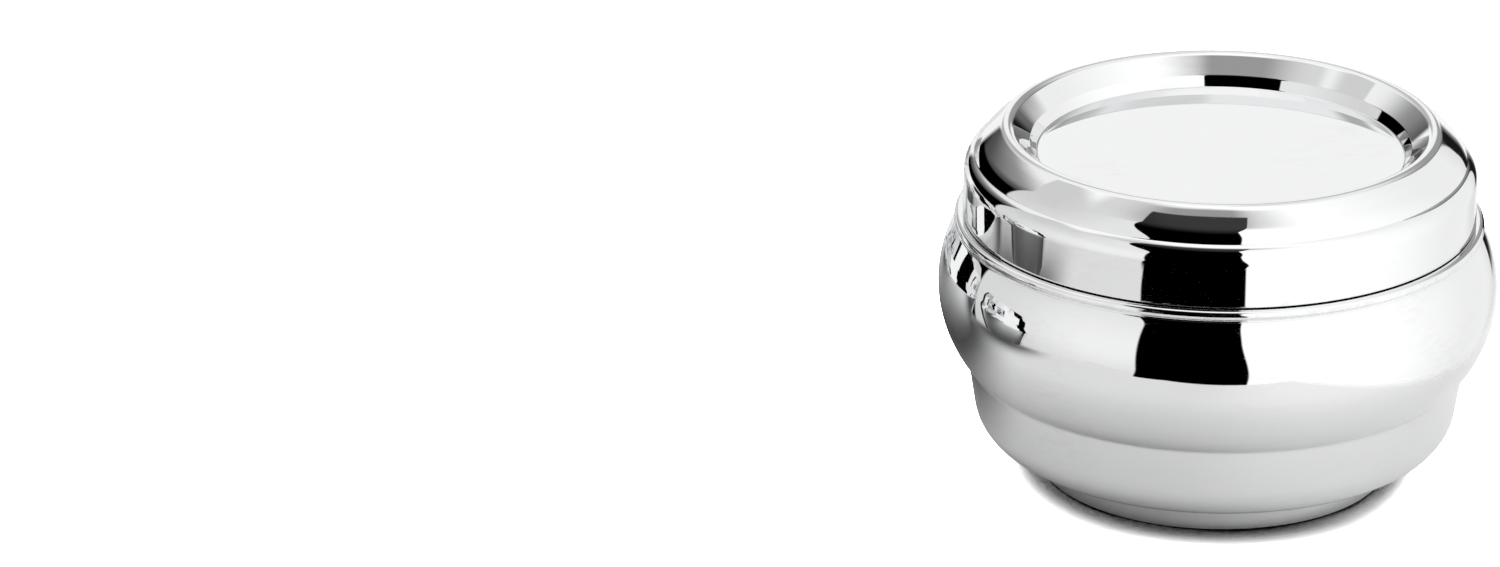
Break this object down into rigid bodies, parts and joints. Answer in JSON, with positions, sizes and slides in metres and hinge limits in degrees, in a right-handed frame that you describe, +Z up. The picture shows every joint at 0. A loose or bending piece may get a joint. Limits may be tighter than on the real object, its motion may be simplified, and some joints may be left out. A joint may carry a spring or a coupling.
{
  "type": "storage container",
  "caption": "Round, bellied storage container of polished sheet steel with a short foot, a bead under the lid and a lift-off lid with a sunken flat top.",
  "frame": {"origin": "middle of the foot's underside, on the plane that the container stands on", "axes": "+Z up along the container's axis, from the foot to the lid; -Y towards the viewer of the picture, and +X to the viewer's right; the shape is a turned one, so any X would do"},
  "size_m": [0.153, 0.153, 0.0991],
  "materials": {
    "body_steel": "mirror-polished stainless steel outside, finely brushed inside",
    "lid_steel": "mirror-polished stainless steel outside, finely brushed inside"
  },
  "bodies": {
    "container": {"container_body": "body_steel"},
    "lid": {"lid": "lid_steel"}
  },
  "joints": [
    {"name": "lid_lift", "type": "slide", "parent": "container", "child": "lid", "axis": [0, 0, 1], "range_m": [0, 0.06]}
  ]
}
